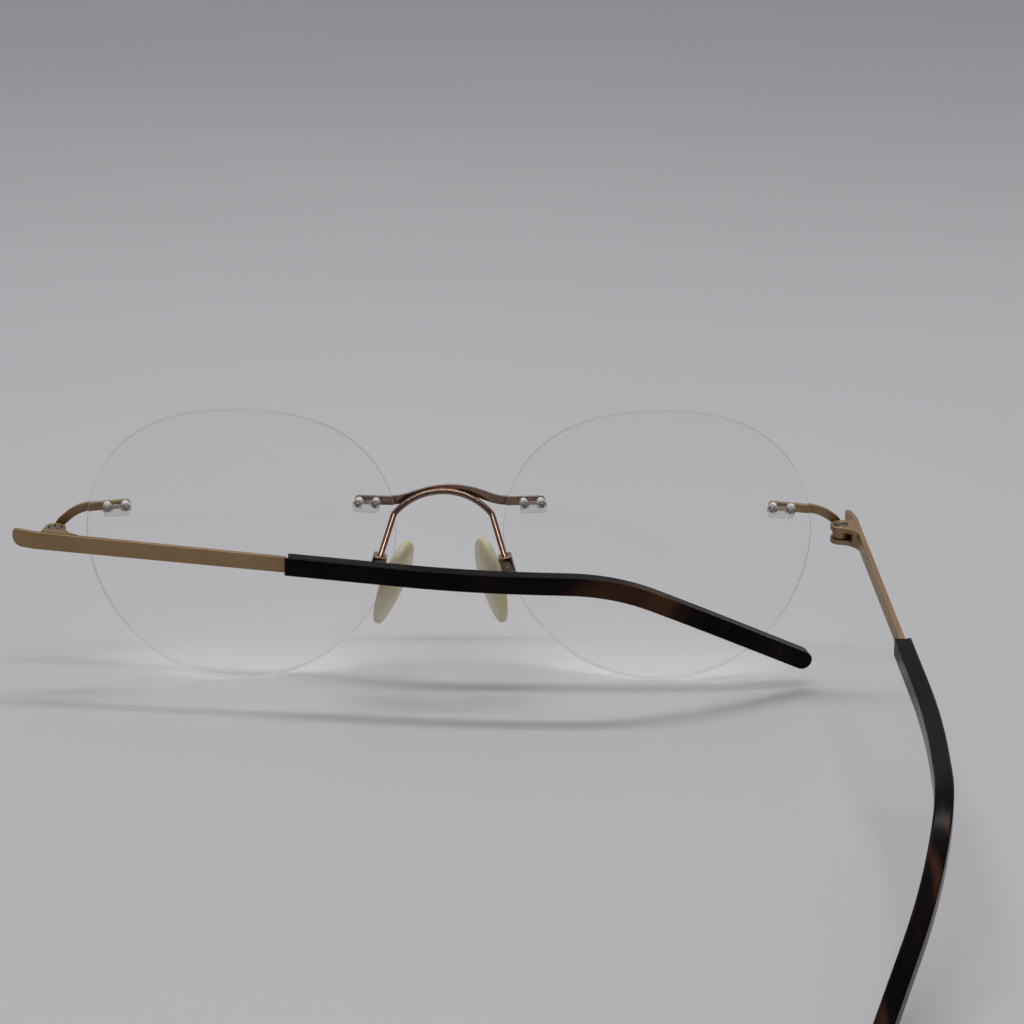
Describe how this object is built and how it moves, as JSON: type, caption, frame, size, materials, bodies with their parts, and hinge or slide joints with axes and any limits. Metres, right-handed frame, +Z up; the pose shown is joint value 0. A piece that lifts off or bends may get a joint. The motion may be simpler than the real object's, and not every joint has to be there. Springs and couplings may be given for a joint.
{
  "type": "rimless eyeglasses",
  "caption": "Rimless eyeglasses with round drilled lenses, a flat metal bridge, wire-mounted nose pads, fork hinges and dark curved temple tips that fold.",
  "frame": {"origin": "on the table, under the middle of the bridge", "axes": "+Z up, -Y the way the glasses look, +X towards the wearer's left; the left temple is folded and the right one open"},
  "size_m": [0.1387, 0.129, 0.0456],
  "materials": {
    "lens": "clear lens plastic with a polished edge and a thin reflection coating",
    "rose_metal": "polished rose-gold plating, a little worn",
    "champagne_metal": "satin champagne-gold plating",
    "screw": "turned and slotted, bright rim",
    "post": "bare drawn wire",
    "plug": "clear soft plastic",
    "pad": "soft translucent silicone, a little yellowed",
    "pad_insert": "moulded core seen through the pad",
    "tip": "polished dark tortoise acetate"
  },
  "bodies": {
    "front": {"bridge_bar": "rose_metal", "pad_arm_wire": "rose_metal", "lens_left": "lens", "bridge_posts_left": "post", "endpiece_posts_left": "post", "nasal_plug_left": "plug", "temporal_plug_left": "plug", "endpiece_left": "champagne_metal", "pad_box_left": "rose_metal", "pad_screw_left": "screw", "lens_right": "lens", "bridge_posts_right": "post", "endpiece_posts_right": "post", "nasal_plug_right": "plug", "temporal_plug_right": "plug", "endpiece_right": "champagne_metal", "pad_box_right": "rose_metal", "pad_screw_right": "screw"},
    "left_temple": {"temple_bar_left": "champagne_metal", "temple_tip_left": "tip", "hinge_block_left": "champagne_metal", "hinge_screw_left": "screw"},
    "right_temple": {"temple_bar_right": "champagne_metal", "temple_tip_right": "tip", "hinge_block_right": "champagne_metal", "hinge_screw_right": "screw"},
    "left_nose_pad": {"nose_pad_left": "pad", "pad_insert_left": "pad_insert"},
    "right_nose_pad": {"nose_pad_right": "pad", "pad_insert_right": "pad_insert"}
  },
  "joints": [
    {"name": "left_hinge", "type": "hinge", "parent": "front", "child": "left_temple", "pos_m": [0.0638, 0.00445, 0.0255], "axis": [0.0419, -0.0714, -0.9966], "range_deg": [0, 82.3]},
    {"name": "right_hinge", "type": "hinge", "parent": "front", "child": "right_temple", "pos_m": [-0.06355, 0.00445, 0.02635], "axis": [-0.0419, -0.0836, -0.9956], "range_deg": [0, 70]},
    {"name": "left_pad_rock", "type": "hinge", "parent": "front", "child": "left_nose_pad", "pos_m": [0.01163, 0.0069, 0.02121], "axis": [0, 1, 0], "range_deg": [-8, 8]},
    {"name": "right_pad_rock", "type": "hinge", "parent": "front", "child": "right_nose_pad", "pos_m": [-0.00943, 0.0069, 0.02121], "axis": [0, 1, 0], "range_deg": [-8, 8]}
  ]
}
